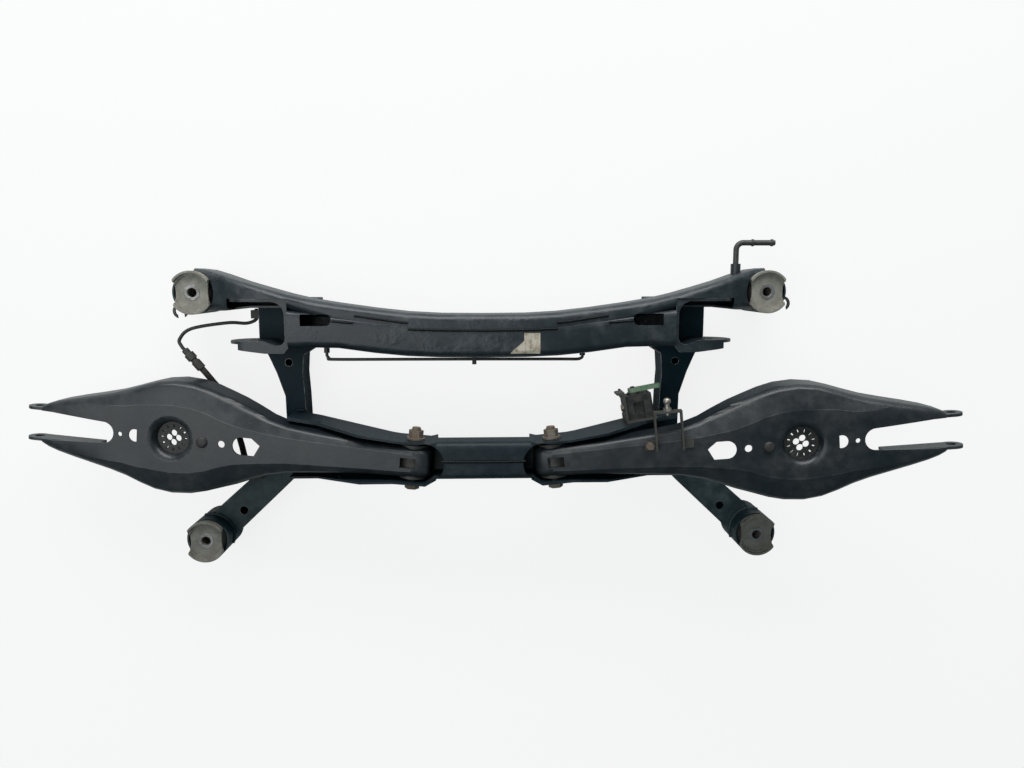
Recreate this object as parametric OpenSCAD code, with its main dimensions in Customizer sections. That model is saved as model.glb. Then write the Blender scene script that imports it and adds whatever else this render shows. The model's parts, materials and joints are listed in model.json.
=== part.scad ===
// Rear axle subframe with its two spring arms, lying on its four body mounts with the road side up.
// Millimetres. X runs across the axle, Y towards the front of the vehicle, Z towards the road.

/* [Body mounts] */
// Distance between the left and the right body bolts
mount_span_x = 812; // [800:4:824]
// Distance between the front and the rear body bolts
mount_span_y = 360; // [352:2:368]
// Bore for a body bolt
body_bolt_d = 13; // [12:0.5:14]
// Outside of a bush sleeve
sleeve_d = 61; // [58:1:64]
// Height of a bush core
core_h = 84; // [80:1:88]
// Across the round of a stop plate
stop_d = 61; // [56:1:64]

/* [Frame] */
// Sheet of the beams
beam_sheet = 3; // [2.5:0.5:4]
// Road face of the front beam above the body plane
front_top = 116; // [112:1:120]
// Rim of the rear channel above the body plane
rear_top = 140; // [138:1:146]

/* [Spring arms] */
// Pivot bolt to wheel end bolt
arm_len = 538; // [530:2:546]
// Widest half width of an arm
arm_half = 81; // [76:1:84]
// Sheet of an arm
arm_sheet = 3; // [2.5:0.5:4]
// Clear width of the fork at the wheel end
fork_gap = 40; // [36:1:44]
// Pivot bolt
pivot_bolt_d = 12; // [10:1:14]
// Left arm's swing from level, towards the road
left_rest = -4; // [-5:1:8]
// Right arm's swing from level, towards the road
right_rest = 7; // [-5:1:8]

/* [Level sensor] */
// Lever from its shaft to its end
lever_len = 40; // [30:1:46]
// Ball on the stud
ball_d = 10; // [8:0.5:12]

/* [Fits] */
// Running clearance on a turning surface
run_gap = 0.05; // [0.03:0.01:0.08]
// Clearance of a bolt in its hole
bolt_gap = 0.2; // [0.1:0.05:0.4]

/* [Hidden] */
$fn = 48;

mx = mount_span_x / 2;
my = mount_span_y / 2;
sleeve_r = sleeve_d / 2;
sleeve_z = [4, core_h - 10];
deck_z = 50;
base_z = 8;

piv = [98.5, -54, 112];
tilt = 5.5;
wall_v = 30;
core_half = wall_v - beam_sheet;
bush_r = 20;
bush_half = 23;
core_r = 10;
pin_r = pivot_bolt_d / 2;
web_w = 25;
us = arm_len / 538;
seat_u = 338 * us;
seat_r = 23;
fork_u = 418 * us;
ear_t = 4;
ear_v = fork_gap / 2;

// Plan point of the right arm's own frame, u along the arm and v across it
function arm_pt(u, v) = [piv[0] + u * cos(tilt) - v * sin(tilt), piv[1] + u * sin(tilt) + v * cos(tilt)];
function unit(v) = v / norm(v);
function side_n(a, b) = let (d = unit(b - a)) [d[1], -d[0]];
// Moves every side of a counter clockwise outline inwards
function inset(p, t) = let (n = len(p)) [for (i = [0:n - 1])
    let (a = side_n(p[(i + n - 1) % n], p[i]), b = side_n(p[i], p[(i + 1) % n]))
    p[i] - t * (a + b) / (1 + a * b)];
function flip(p) = [for (i = [len(p) - 1:-1:0]) [-p[i][0], p[i][1]]];
// Ring with round corners in the plane of a beam section
function rrect(x, y0, y1, z0, z1, r) = [for (c = [[y1, z0, -90, -1, 1], [y1, z1, 0, -1, -1],
    [y0, z1, 90, 1, -1], [y0, z0, 180, 1, 1]], k = [0:3])
    [x, c[0] + c[3] * r + r * cos(c[2] + 30 * k), c[1] + c[4] * r + r * sin(c[2] + 30 * k)]];
// Smooth curve through route points
function spline(p, m) = let (n = len(p)) concat([for (i = [0:n - 2], k = [0:m - 1])
    let (t = k / m, a = p[max(i - 1, 0)], b = p[i], c = p[i + 1], d = p[min(i + 2, n - 1)])
    0.5 * (2 * b + (c - a) * t + (2 * a - 5 * b + 4 * c - d) * t * t + (3 * b - a - 3 * c + d) * t * t * t)],
    [p[n - 1]]);

// Closed skin through rings of points, each ring counter clockwise seen from the last one
module skin(rings) {
    n = len(rings[0]);
    m = len(rings);
    polyhedron(points = [for (r = rings) each r],
        faces = concat([[for (i = [0:n - 1]) i]], [[for (i = [n - 1:-1:0]) (m - 1) * n + i]],
            [for (j = [0:m - 2], i = [0:n - 1]) [j * n + i, (j + 1) * n + i, (j + 1) * n + (i + 1) % n]],
            [for (j = [0:m - 2], i = [0:n - 1]) [j * n + i, (j + 1) * n + (i + 1) % n, j * n + (i + 1) % n]]),
        convexity = 8);
}

// Round bar along a route that never runs straight up
module bar(p, r, sides = 10) {
    n = len(p);
    skin([for (i = [0:n - 1])
        let (t = unit(p[min(i + 1, n - 1)] - p[max(i - 1, 0)]), a = unit(cross([0, 0, 1], t)), b = cross(t, a))
        [for (k = [0:sides - 1]) p[i] + r * (a * cos(360 * k / sides) + b * sin(360 * k / sides))]]);
}

module at_mount(sx, sy) { translate([sx * mx, sy * my, 0]) children(); }
module both(s) { if (s > 0) children(); else mirror([1, 0, 0]) children(); }
// Frame of an arm at rest: origin on the pivot bolt, u outwards, v to the front, w to the road
module on_arm(s) {
    both(s) translate(piv) rotate([0, 0, tilt]) rotate([0, -(s > 0 ? right_rest : left_rest), 0]) children();
}
// Same place without the swing, for what stays on the frame
module on_pivot(s) { both(s) translate(piv) rotate([0, 0, tilt]) children(); }
module along_v(v0, v1, r, fn = 48) { translate([0, v0, 0]) rotate([-90, 0, 0]) cylinder(r = r, h = v1 - v0, $fn = fn); }

// Half stations of the front beam: across, lower and upper edge from the mounts' line, body face, road face
upper_half = [[0, -62, -30, 50, 0], [60, -61, -29.5, 50, 0], [105, -58, -27, 50, 0], [150, -52, -22, 50, 0],
    [mx - 206, -42, -15, 50, 0], [mx - 166, -30, -8.5, 50, 0], [mx - 138, -22, -2, 50, 0], [mx - 106, -22, 7, 50, 0],
    [mx - 76, -22, 16, 50, -6], [mx - 46, -25, 25, 34, -22], [mx - 18, -26, 32, 16, -38], [mx, -27, 34, 14, -42]];
lower_half = [[0, -90, -45, 50, 1.5], [60, -89.5, -45, 50, 1.5], [105, -87.5, -43, 50, 1.5], [150, -83, -37, 50, 1.5],
    [mx - 206, -76, -31, 50, 1.5], [mx - 166, -75, -26, 50, 1.5], [mx - 138, -76, -23, 50, 1.5]];
function whole(h) = concat([for (i = [len(h) - 1:-1:1]) [-h[i][0], h[i][1], h[i][2], h[i][3], h[i][4]]], h);
module beam(h, t, over = 0) {
    st = whole(h);
    skin([for (i = [0:len(st) - 1]) let (s = st[i], e = (i == 0 ? -over : (i == len(st) - 1 ? over : 0)))
        rrect(s[0] + e, my + s[1] + t, my + s[2] - t, s[3] + t, front_top + s[4] - t, 10 - t)]);
}

module front_crossmember() color("#24262a") difference() {
    union() {
        difference() {
            union() { beam(upper_half, 0); beam(lower_half, 0); }
            beam(upper_half, beam_sheet);
            beam(lower_half, beam_sheet, 2);
        }
        translate([mx - 40, my + 16, 60]) rotate([-90, 0, 0]) cylinder(r = 7, h = 24);
        for (e = [rail_path[0], rail_path[len(rail_path) - 1]])
            translate(e) rotate([-90, 0, 0]) cylinder(r = 4, h = e[0] < 0 ? 14 : 9);
    }
    for (sx = [-1, 1]) {
        at_mount(sx, 1) translate([0, 0, -1]) cylinder(r = sleeve_r, h = 130);
        both(sx) {
            translate([mx - 190, my - 37, front_top - 12]) cylinder(r = 8, h = 30);
            translate([mx - 190, my - 45, front_top - 12]) cube([34, 16, 30]);
            translate([0, my, deck_z + 16]) linear_extrude(100) polygon(link_plan);
        }
    }
}

side_plan = [[mx - 166, my - 8], [mx - 166, my - 76], [mx - 144, my - 90], [mx - 142, 62], [mx - 144, 28],
    [mx - 146, -45], [mx - 116, -45], [mx - 115, 28], [mx - 104, 62], [mx - 94, my - 94], [mx - 81, my - 68],
    [mx - 81, my - 8]];
module side_member(s) color("#222428") both(s) difference() {
    translate([0, 0, base_z]) linear_extrude(deck_z - base_z) polygon(side_plan);
    translate([0, 0, base_z - 1]) linear_extrude(deck_z - base_z + 1 - beam_sheet) polygon(inset(side_plan, beam_sheet));
    translate([mx - 122, my - 102, 0]) cylinder(r = 5, h = 100);
}
module left_side_member() side_member(-1);
module right_side_member() side_member(1);

leg_root = [mx - 137, -60];
leg_d = unit([mx, -my] - leg_root);
leg_n = [-leg_d[1], leg_d[0]];
leg_plan = [[mx - 146, -45], [mx - 119, -100], [mx, -my] - 24 * leg_n, [mx, -my] + 24 * leg_n, [mx - 116, -45]];
leg_hole = [mx, -my] - 59 * leg_d - 4 * leg_n;
module rear_leg(s) color("#232529") both(s) difference() {
    translate([0, 0, base_z]) linear_extrude(deck_z - base_z) polygon(leg_plan);
    translate([0, 0, base_z - 1]) linear_extrude(deck_z - base_z + 1 - beam_sheet) polygon(inset(leg_plan, beam_sheet));
    translate([mx, -my, 0]) cylinder(r = sleeve_r, h = 100);
    translate(leg_hole) cylinder(r = 6, h = 100);
}
module left_rear_leg() rear_leg(-1);
module right_rear_leg() rear_leg(1);

rear_y = [-77, -24];
box_z = 96;
channel_end = mx - 130;
channel_y = [-82, 7];
channel_plan = [[66, rear_y[0]], arm_pt(-20, -wall_v), arm_pt(24, -wall_v), [channel_end, channel_y[0]],
    [channel_end, channel_y[1]], arm_pt(24, wall_v), arm_pt(-20, wall_v), [66, rear_y[1]]];
channel_in = [for (i = [0:7]) let (q = inset(channel_plan, beam_sheet)[i])
    i == 3 || i == 4 ? [channel_end + 9, q[1]] : (i == 0 || i == 7 ? [70.5, q[1]] : q)];
module rounded_bar(x, y, z, r) {
    translate([-x, 0, 0]) rotate([90, 0, 90]) linear_extrude(2 * x) {
        translate([y[0] + r, z[0]]) square([y[1] - y[0] - 2 * r, z[1] - z[0]]);
        translate([y[0], z[0] + r]) square([y[1] - y[0], z[1] - z[0] - 2 * r]);
        for (a = [y[0] + r, y[1] - r], b = [z[0] + r, z[1] - r]) translate([a, b]) circle(r);
    }
}
// What lies under the arched floor of the rear beam
module under_arch(t) {
    translate([0, 60, t]) rotate([90, 0, 0]) linear_extrude(200)
        polygon([[-400, 0], [400, 0], [400, deck_z], [240, deck_z], [132, 80], [-132, 80], [-240, deck_z],
            [-400, deck_z]]);
}
module rear_crossmember() color("#222428") difference() {
    union() {
        difference() {
            rounded_bar(70, rear_y, [box_z, rear_top], 9);
            translate([0, -51, rear_top]) rotate([0, 90, 0]) cylinder(r = 2, h = 104, center = true);
        }
        for (s = [-1, 1]) both(s) difference() {
            linear_extrude(rear_top) polygon(channel_plan);
            under_arch(0);
            difference() {
                linear_extrude(rear_top + 1) polygon(channel_in);
                under_arch(beam_sheet);
            }
        }
    }
    rounded_bar(72, rear_y + [beam_sheet, -beam_sheet], [box_z + beam_sheet, rear_top - beam_sheet], 9 - beam_sheet);
    for (s = [-1, 1]) both(s) {
        translate([82.5, piv[1], rear_top - 12]) cylinder(r = 28, h = 30);
        translate([0, 60, 0]) rotate([90, 0, 0]) linear_extrude(200)
            polygon([[172, rear_top], [236, 104], [400, 104], [400, 300], [172, 300]]);
        translate([232, 0, 100]) rotate([-90, 0, 0]) cylinder(r = 3, h = 40, center = true);
        translate([206, -82, 108]) rotate([-90, 0, 0]) cylinder(r = 3, h = 40, center = true);
    }
    for (s = [-1, 1]) on_pivot(s) along_v(-wall_v - 5, wall_v + 5, pin_r + bolt_gap);
}

link_x = mx - 84;
link_z = deck_z + 36;
link_in = mx - 138;
// Plan of a link bracket from the mounts' line
link_plan = [[link_in, -76], [link_in + 18, -76], [link_in + 34, -70], [link_in + 86, -70], [link_in + 86, -8], [link_in, -8]];
module link_bracket(s) color("#26282c") both(s) translate([0, my, 0]) difference() {
    intersection() {
        union() {
            translate([0, 0, deck_z]) linear_extrude(64) difference() {
                polygon(link_plan);
                translate([link_in, 0]) {
                    polygon([[14, -72], [17.3, -72], [33.3, -66], [92, -66], [92, -12], [22, -12], [22, -30], [4, -30],
                        [4, -62], [14, -62]]);
                    translate([14, -62]) circle(10);
                    translate([22, -30]) circle(18);
                }
            }
            translate([link_in, 0, deck_z + 60]) linear_extrude(4)
                polygon([[6, -83], [32, -83], [78, -77], [86, -69.5], [34, -69.5], [18, -75.5], [0, -75.5]]);
        }
        translate([0, -90, 0]) rotate([-90, 0, 0]) mirror([0, 1, 0]) linear_extrude(90) {
            translate([link_in - 8, deck_z]) square([link_x - link_in + 8, 64]);
            translate([link_x, link_z - 4]) circle(32);
        }
    }
    translate([link_in - 8, -22, 0]) cube([120, 30, deck_z + 16]);
    translate([link_x, -90, link_z]) rotate([-90, 0, 0]) cylinder(r = 6 + bolt_gap, h = 90);
}
module left_link_bracket() link_bracket(-1);
module right_link_bracket() link_bracket(1);

rubber_r = sleeve_r - 3;
mount_core_r = body_bolt_d / 2 + 6;
module bush_sleeve(sx, sy) color("#2b2c2f") at_mount(sx, sy) translate([0, 0, sleeve_z[0]]) difference() {
    cylinder(r = sleeve_r, h = sleeve_z[1] - sleeve_z[0]);
    translate([0, 0, -1]) cylinder(r = rubber_r, h = 200);
}
module bush_rubber(sx, sy) color("#151515") at_mount(sx, sy) translate([0, 0, sleeve_z[0]]) difference() {
    rotate_extrude() polygon([[0, 2], [rubber_r, 4], [rubber_r, sleeve_z[1] - sleeve_z[0] - 4],
        [rubber_r - 5, sleeve_z[1] - sleeve_z[0] + 4], [0, sleeve_z[1] - sleeve_z[0] + 4]]);
    translate([0, 0, -1]) cylinder(r = mount_core_r, h = 200);
}
module bush_core(sx, sy) color("#8d8b84") at_mount(sx, sy) difference() {
    cylinder(r = mount_core_r, h = core_h - 5);
    translate([0, 0, -1]) cylinder(r = body_bolt_d / 2, h = 200);
}
// Stop plate: a disc hollowed at its two sides, with a lip over each end
module bush_stop(sx, sy) color("#8f8a80") at_mount(sx, sy) translate([0, 0, core_h - 5]) difference() {
    union() {
        cylinder(r = stop_d / 2, h = 5);
        difference() {
            cylinder(r = stop_d / 2, h = 9);
            translate([0, 0, 1]) cylinder(r = stop_d / 2 - 3, h = 20);
        }
    }
    for (s = [-1, 1]) translate([s * (0.36 * stop_d + 60), 0, -1]) cylinder(r = 60, h = 20, $fn = 96);
    translate([0, 0, 3]) cylinder(r = stop_d / 2 - 6, h = 20);
    translate([0, 0, -1]) cylinder(r = body_bolt_d / 2, h = 200);
}
module front_left_sleeve() bush_sleeve(-1, 1);
module front_left_rubber() bush_rubber(-1, 1);
module front_left_core() bush_core(-1, 1);
module front_left_stop() bush_stop(-1, 1);
module front_right_sleeve() bush_sleeve(1, 1);
module front_right_rubber() bush_rubber(1, 1);
module front_right_core() bush_core(1, 1);
module front_right_stop() bush_stop(1, 1);
module rear_left_sleeve() bush_sleeve(-1, -1);
module rear_left_rubber() bush_rubber(-1, -1);
module rear_left_core() bush_core(-1, -1);
module rear_left_stop() bush_stop(-1, -1);
module rear_right_sleeve() bush_sleeve(1, -1);
module rear_right_rubber() bush_rubber(1, -1);
module rear_right_core() bush_core(1, -1);
module rear_right_stop() bush_stop(1, -1);

// Arm stations: along, half width, half width of the flat web, road face, flange edge
arm_st = [[-25, 20, 9, 15, -8], [-20, 22.5, 11, 21, -17], [-12, 23, 12, 24, -23], [0, 23, 12, web_w, -26],
    [18, 23, 13, web_w, -25], [34, 23, 14, web_w, -19], [60, 24, 15, web_w, -13], [100, 27, 18, web_w, -11],
    [140, 31, 21, web_w, -12], [176, 35, 25, web_w, -14], [205, 44, 29, web_w, -16], [226, 54, 33, web_w, -18],
    [248, 64, 38, web_w, -20], [270, 72, 47, web_w, -22], [290, 79, 58, web_w, -24],
    [312, 84.5, 65, web_w, -25], [338, 86, 68, web_w, -26], [362, 82.5, 65, web_w, -25],
    [384, 75, 57, web_w, -24], [404, 67, 48, web_w, -22], [426, 59, 42, web_w, -20], [452, 52, 37, 24, -18],
    [480, 45, 32, 22, -16], [502, 39, 28, 20, -13], [516, 34, 25, 18, -8], [526, 29, 23, 16, -2]];
function arm_outer(s) = let (h = s[1] * arm_half / 86, f = min(s[2], h - 6), g = h - f,
        k = min(g / 18, 1), w = s[3], e = s[4])
    [[f, w], [f + 0.45 * g, w - 4.5 * k], [h - 0.3 * g, w - 8 * k], [h - 0.1 * g, w - 13 * k],
     [h - 0.02 * g, w - 20 * k], [h + 1.5 * k, e]];
function arm_inner(p) = let (n = len(p)) [for (i = [0:n - 1])
    let (d = unit(p[min(i + 1, n - 1)] - p[max(i - 1, 0)])) p[i] + arm_sheet * [d[1], -d[0]]];
function arm_ring(s) = let (o = arm_outer(s), q = arm_inner(o), n = len(o), u = s[0] * us)
    concat([for (i = [n - 1:-1:0]) [u, o[i][0], o[i][1]]], [for (i = [0:n - 1]) [u, -o[i][0], o[i][1]]],
        [for (i = [n - 1:-1:0]) [u, -q[i][0], q[i][1]]], [for (i = [0:n - 1]) [u, q[i][0], q[i][1]]]);
module arm(s) color("#1f2126") on_arm(s) difference() {
    union() {
        skin([for (t = arm_st) arm_ring(t)]);
        translate([seat_u, 0, web_w]) rotate_extrude() polygon([[32, 0], [28, -1.2], [24.6, -5], [seat_r, -10],
            [seat_r, -17], [seat_r + 3, -17], [seat_r + 3, -10], [28, -5.6], [32, -3]]);
        for (v = [-1, 1]) {
            translate([fork_u + 30, v > 0 ? ear_v : -ear_v - ear_t, -13]) cube([arm_len - fork_u - 30, ear_t, 27]);
            translate([arm_len, 0, 0]) along_v(v > 0 ? ear_v : -ear_v - ear_t, v > 0 ? ear_v + ear_t : -ear_v, 14);
        }
    }
    translate([seat_u, 0, web_w - 9]) cylinder(r = seat_r, h = 30);
    translate([fork_u + 15, 0, -60]) cylinder(r = 15, h = 120);
    translate([0, 0, -60]) linear_extrude(120) polygon([[fork_u + 15, -15], [arm_len - 30, -ear_v], [arm_len + 60, -ear_v],
        [arm_len + 60, ear_v], [arm_len - 30, ear_v], [fork_u + 15, 15]]);
    translate([arm_len, 0, 0]) along_v(-60, 60, 6 + bolt_gap);
    along_v(-60, 60, bush_r);
    translate([409 * us, 0, 0]) cylinder(r = 3.2, h = 60);
    translate([388 * us, 0, 0]) intersection() {
        cylinder(r = 9, h = 60);
        translate([-3, -20, 0]) cube([20, 40, 60]);
    }
    translate([293 * us, 0, 0]) cylinder(r = 5, h = 60);
    translate([266 * us, 0, 0]) cylinder(r = 5, h = 60);
    translate([238 * us, 0, 0]) cylinder(r = 12.5, h = 60);
    linear_extrude(60) polygon([[238 * us, -12.5], [238 * us, 12.5], [224 * us, 12.5], [212 * us, 3], [220 * us, -12.5]]);
    translate([-6, -7, 0]) cube([22, 14, 60]);
}
module left_arm() arm(-1);
module right_arm() arm(1);

module arm_sleeve(s) color("#303236") on_arm(s) difference() {
    along_v(-bush_half - 1, bush_half + 1, bush_r);
    along_v(-60, 60, bush_r - 2.5);
}
module arm_rubber(s) color("#151515") on_arm(s) difference() {
    along_v(-bush_half, bush_half, bush_r - 2.5);
    along_v(-60, 60, core_r + run_gap);
}
module arm_core(s) color("#77756f") on_pivot(s) difference() {
    along_v(-core_half, core_half, core_r);
    along_v(-60, 60, pin_r + bolt_gap);
}
washer_t = 3;
head_v = wall_v + washer_t;
module washer(s, sv) color("#8a7a63") on_pivot(s) difference() {
    along_v(sv > 0 ? wall_v : -head_v, sv > 0 ? head_v : -wall_v, 13);
    along_v(-60, 60, pin_r + bolt_gap);
}
module pivot_bolt(s) color("#3a3733") on_pivot(s) {
    along_v(-head_v - 8, -head_v, 10.4, 6);
    along_v(-head_v - 1, head_v + 14, pin_r);
}
module pivot_nut(s) color("#8a6f52") on_pivot(s) difference() {
    along_v(head_v, head_v + 10, 10.4, 6);
    along_v(-60, 60, pin_r);
}
module left_arm_sleeve() arm_sleeve(-1);
module left_arm_rubber() arm_rubber(-1);
module left_arm_core() arm_core(-1);
module left_pivot_bolt() pivot_bolt(-1);
module left_pivot_nut() pivot_nut(-1);
module left_nut_washer() washer(-1, 1);
module left_head_washer() washer(-1, -1);
module right_arm_sleeve() arm_sleeve(1);
module right_arm_rubber() arm_rubber(1);
module right_arm_core() arm_core(1);
module right_pivot_bolt() pivot_bolt(1);
module right_pivot_nut() pivot_nut(1);
module right_nut_washer() washer(1, 1);
module right_head_washer() washer(1, -1);

// Spider insert in the spring seat
module spring_pad(s) color("#18191b") on_arm(s) translate([seat_u, 0, web_w - 15]) difference() {
    cylinder(r = seat_r, h = 4);
    for (a = [45:90:315]) rotate(a) translate([6.6, 0, -1]) cylinder(r = 4.6, h = 10);
    for (a = [0:30:330]) rotate(a + 15) translate([14.5, -0.9, -1]) cube([4.5, 1.8, 10]);
}
module left_spring_pad() spring_pad(-1);
module right_spring_pad() spring_pad(1);
module plug(s) color("#1c1d20") on_arm(s) translate([293 * us, 0, web_w]) {
    translate([0, 0, -6]) cylinder(r = 5, h = 7);
    rotate_extrude() polygon([[0, 0], [8, 0], [7.4, 2], [5, 3.6], [0, 4.2]]);
}
module left_plug() plug(-1);
module right_plug() plug(1);

// Frame on the front wall of the right channel: s along the wall, q away from it
wall_a = arm_pt(24, wall_v);
wall_ang = atan2(channel_y[1] - wall_a[1], channel_end - wall_a[0]);
module on_wall(x) {
    y = wall_a[1] + (x - wall_a[0]) * tan(wall_ang);
    translate([x, y, 0]) rotate([0, 0, wall_ang]) children();
}
sensor_x = 226;
sensor_z = 88;
module sensor_bracket() color("#3b3d3f") on_wall(sensor_x) difference() {
    union() {
        translate([-22, 0, sensor_z - 20]) cube([44, 3, 40]);
        translate([-22, 0, sensor_z - 20]) cube([3, 46, 40]);
        translate([-30, 43, sensor_z - 6]) cube([9, 3, 26]);
    }
    translate([-23, 10, sensor_z - 30]) cube([10, 24, 20]);
    translate([-40, 22, sensor_z + 8]) rotate([0, 90, 0]) cylinder(r = 3, h = 40);
}
module sensor_body() color("#202224") on_wall(sensor_x) {
    difference() {
        union() {
            translate([-19, 3, sensor_z - 14]) cube([38, 35, 28]);
            translate([6, 3, sensor_z - 18]) cube([10, 26, 36]);
            translate([-4, 38, sensor_z]) rotate([-90, 0, 0]) cylinder(r = 9, h = 3);
        }
        translate([-8, 12, sensor_z + 9]) cube([14, 16, 10]);
    }
    translate([-4, 38, sensor_z]) rotate([-90, 0, 0]) cylinder(r = 3, h = 11);
}
module sensor_lever() color("#2f5a3c") on_wall(sensor_x) translate([-4, 41 + run_gap, sensor_z]) difference() {
    union() {
        rotate([-90, 0, 0]) cylinder(r = 7, h = 6);
        translate([0, 0, -5]) cube([lever_len - 5, 6, 10]);
        translate([lever_len - 5, 0, 0]) rotate([-90, 0, 0]) cylinder(r = 5, h = 6);
    }
    translate([0, -1, 0]) rotate([-90, 0, 0]) cylinder(r = 3 + run_gap, h = 10);
    translate([lever_len - 5, -1, 0]) rotate([-90, 0, 0]) cylinder(r = 2.5, h = 10);
}
module sensor_screw() color("#77736a") on_wall(sensor_x) translate([-25.5, 22, sensor_z + 8]) rotate([0, 90, 0]) {
    cylinder(r = 5.5, h = 3.5, $fn = 6);
    cylinder(r = 3, h = 6.5);
}

strap_u = [142, 180];
strap_w = 14;
strap_t = 2.5;
strap_v = [8, 62];
module rod_strap() color("#55565a") on_arm(1) difference() {
    union() {
        for (k = [0, 1]) translate([strap_u[k] - k * strap_t, strap_v[0], web_w])
            cube([strap_t, strap_v[1] - strap_v[0], strap_w]);
        translate([strap_u[0], strap_v[1] - strap_t, web_w]) cube([strap_u[1] - strap_u[0], strap_t, strap_w]);
        for (k = [0, 1]) translate([k == 0 ? strap_u[0] - 14 : strap_u[1] - strap_t, strap_v[0], web_w])
            cube([14 + strap_t, 13, strap_t]);
    }
    translate([strap_u[0] - 7, strap_v[0] + 6.5, 0]) cylinder(r = 3, h = 60);
    translate([(strap_u[0] + strap_u[1]) / 2, 0, web_w + strap_w / 2]) along_v(20, 80, 3);
}
module strap_screw() color("#6d675c") on_arm(1) translate([strap_u[0] - 7, strap_v[0] + 6.5, web_w]) {
    translate([0, 0, strap_t]) cylinder(r = 5.8, h = 5, $fn = 6);
    cylinder(r = 3, h = strap_t + 1);
}
module ball_stud() color("#9a948a") on_arm(1) translate([(strap_u[0] + strap_u[1]) / 2, strap_v[1], web_w + strap_w / 2]) {
    along_v(-6, 1, 3);
    along_v(0, 4, 5.6, 6);
    along_v(3, 10, 3.2);
    translate([0, 8 + ball_d / 2, 0]) sphere(d = ball_d);
}

// Open hook for a line, on the sleeve of a front mount
module hook(s, a) color("#3d3d3c") both(s) at_mount(1, 1) translate([0, 0, 34]) difference() {
    rotate(a) union() {
        translate([sleeve_r - 4, -4, 0]) cube([9, 8, 3]);
        translate([sleeve_r + 14, 0, 0]) linear_extrude(3) difference() {
            circle(11);
            circle(7);
            rotate(-60) translate([0, -5]) square([20, 10]);
        }
    }
    translate([0, 0, -1]) cylinder(r = sleeve_r, h = 20);
}
module left_hook() hook(-1, -38);
module right_hook() hook(1, -24);

rail_y = my - 95;
rail_path = spline([[-222, rail_y + 10, 80], [-222, rail_y + 6, 80], [-219, rail_y + 2, 80], [-212, rail_y + 0.5, 80],
    [-120, rail_y + 0.2, 80], [0, rail_y, 80], [110, rail_y - 0.4, 80], [134, rail_y - 0.5, 80], [140, rail_y + 1, 80],
    [142, rail_y + 3, 80], [142, rail_y + 5, 80]], 2);
module cable_rail() color("#1d1e21") bar(rail_path, 2.2, 8);
module rail_clip() color("#2a2b2d") translate([-16, rail_y, 74]) difference() {
    union() {
        translate([0, -7, 0]) cube([6, 10.5, 12]);
        translate([-4, 3.5, 0]) cube([14, 1.5, 12]);
    }
    translate([-14, 0.05, 6]) rotate([0, 90, 0]) cylinder(r = 2.4, h = 60);
}

module vent_pipe() color("#3a3c3f") translate([mx - 40, my + 40, 60]) difference() {
    union() {
        rotate([-90, 0, 0]) cylinder(r = 4, h = 20);
        translate([10, 20, 0]) rotate([0, 0, 90]) rotate_extrude(angle = 90) translate([10, 0]) circle(4);
        translate([10, 30, 0]) rotate([0, 90, 0]) cylinder(r = 4, h = 46);
        for (x = [22, 50]) translate([x, 30, 0]) rotate([0, 90, 0]) cylinder(r = 5.2, h = 3);
    }
    translate([24, 30, 0]) rotate([0, 90, 0]) cylinder(r = 2.8, h = 60);
}

// Point given from the front left mount, outwards and forwards
function by_mount(out, fore, z) = [-mx - out, my + fore, z];
module line_clip() color("#26272a") translate(by_mount(-75, -24, 38)) difference() {
    translate([-6, -14, -8]) cube([12, 12, 16]);
    translate([0, 4, 0]) rotate([90, 0, 0]) cylinder(r = 2.6, h = 40);
}
union_a = by_mount(25, -82, 55);
union_b = by_mount(3, -110, 52);
union_d = unit(union_b - union_a);
line_path = spline([by_mount(-75, -24, 38), by_mount(-75, -32, 38), by_mount(-74, -40, 38.5), by_mount(-61, -45, 42),
    by_mount(-36, -44, 48), by_mount(14, -52, 54), by_mount(31, -67, 55.5), union_a - 6 * union_d, union_a + 3 * union_d], 4);
module brake_line() color("#2e2f31") bar(line_path, 2.5, 8);
module line_union() color("#232427") {
    h = norm(union_b - union_a);
    translate(union_a) rotate([0, acos(union_d[2]), atan2(union_d[1], union_d[0])]) difference() {
        union() {
            cylinder(r = 5, h = h);
            translate([0, 0, 8]) cylinder(r = 7, h = 10);
            translate([0, 0, 22]) cylinder(r = 6.5, h = h - 22);
        }
        translate([0, 0, -1]) cylinder(r = 2.8, h = 4.3);
        translate([0, 0, h - 3.3]) cylinder(r = 5, h = 5);
    }
}
hose_path = spline([union_b - 3 * union_d, union_b + 7 * union_d, by_mount(-10, -130, 46), by_mount(-20, -148, 40),
    [-370, -10, 40], [-360, -45, 44], [-350, -68, 54.5], [-330, -92, 54.5]], 4);
module brake_hose() color("#1b1c1e") bar(hose_path, 4.5, 10);

front_crossmember();
left_side_member();
right_side_member();
rear_crossmember();
left_rear_leg();
right_rear_leg();
left_link_bracket();
right_link_bracket();
front_left_sleeve();
front_left_rubber();
front_left_core();
front_left_stop();
front_right_sleeve();
front_right_rubber();
front_right_core();
front_right_stop();
rear_left_sleeve();
rear_left_rubber();
rear_left_core();
rear_left_stop();
rear_right_sleeve();
rear_right_rubber();
rear_right_core();
rear_right_stop();
left_arm();
left_arm_sleeve();
left_arm_rubber();
left_arm_core();
left_pivot_bolt();
left_pivot_nut();
left_nut_washer();
left_head_washer();
left_spring_pad();
left_plug();
right_arm();
right_arm_sleeve();
right_arm_rubber();
right_arm_core();
right_pivot_bolt();
right_pivot_nut();
right_nut_washer();
right_head_washer();
right_spring_pad();
right_plug();
sensor_bracket();
sensor_body();
sensor_lever();
sensor_screw();
rod_strap();
strap_screw();
ball_stud();
left_hook();
right_hook();
cable_rail();
rail_clip();
vent_pipe();
line_clip();
brake_line();
line_union();
brake_hose();
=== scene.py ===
import json
import math

import bpy
from mathutils import Matrix, Vector


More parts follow.
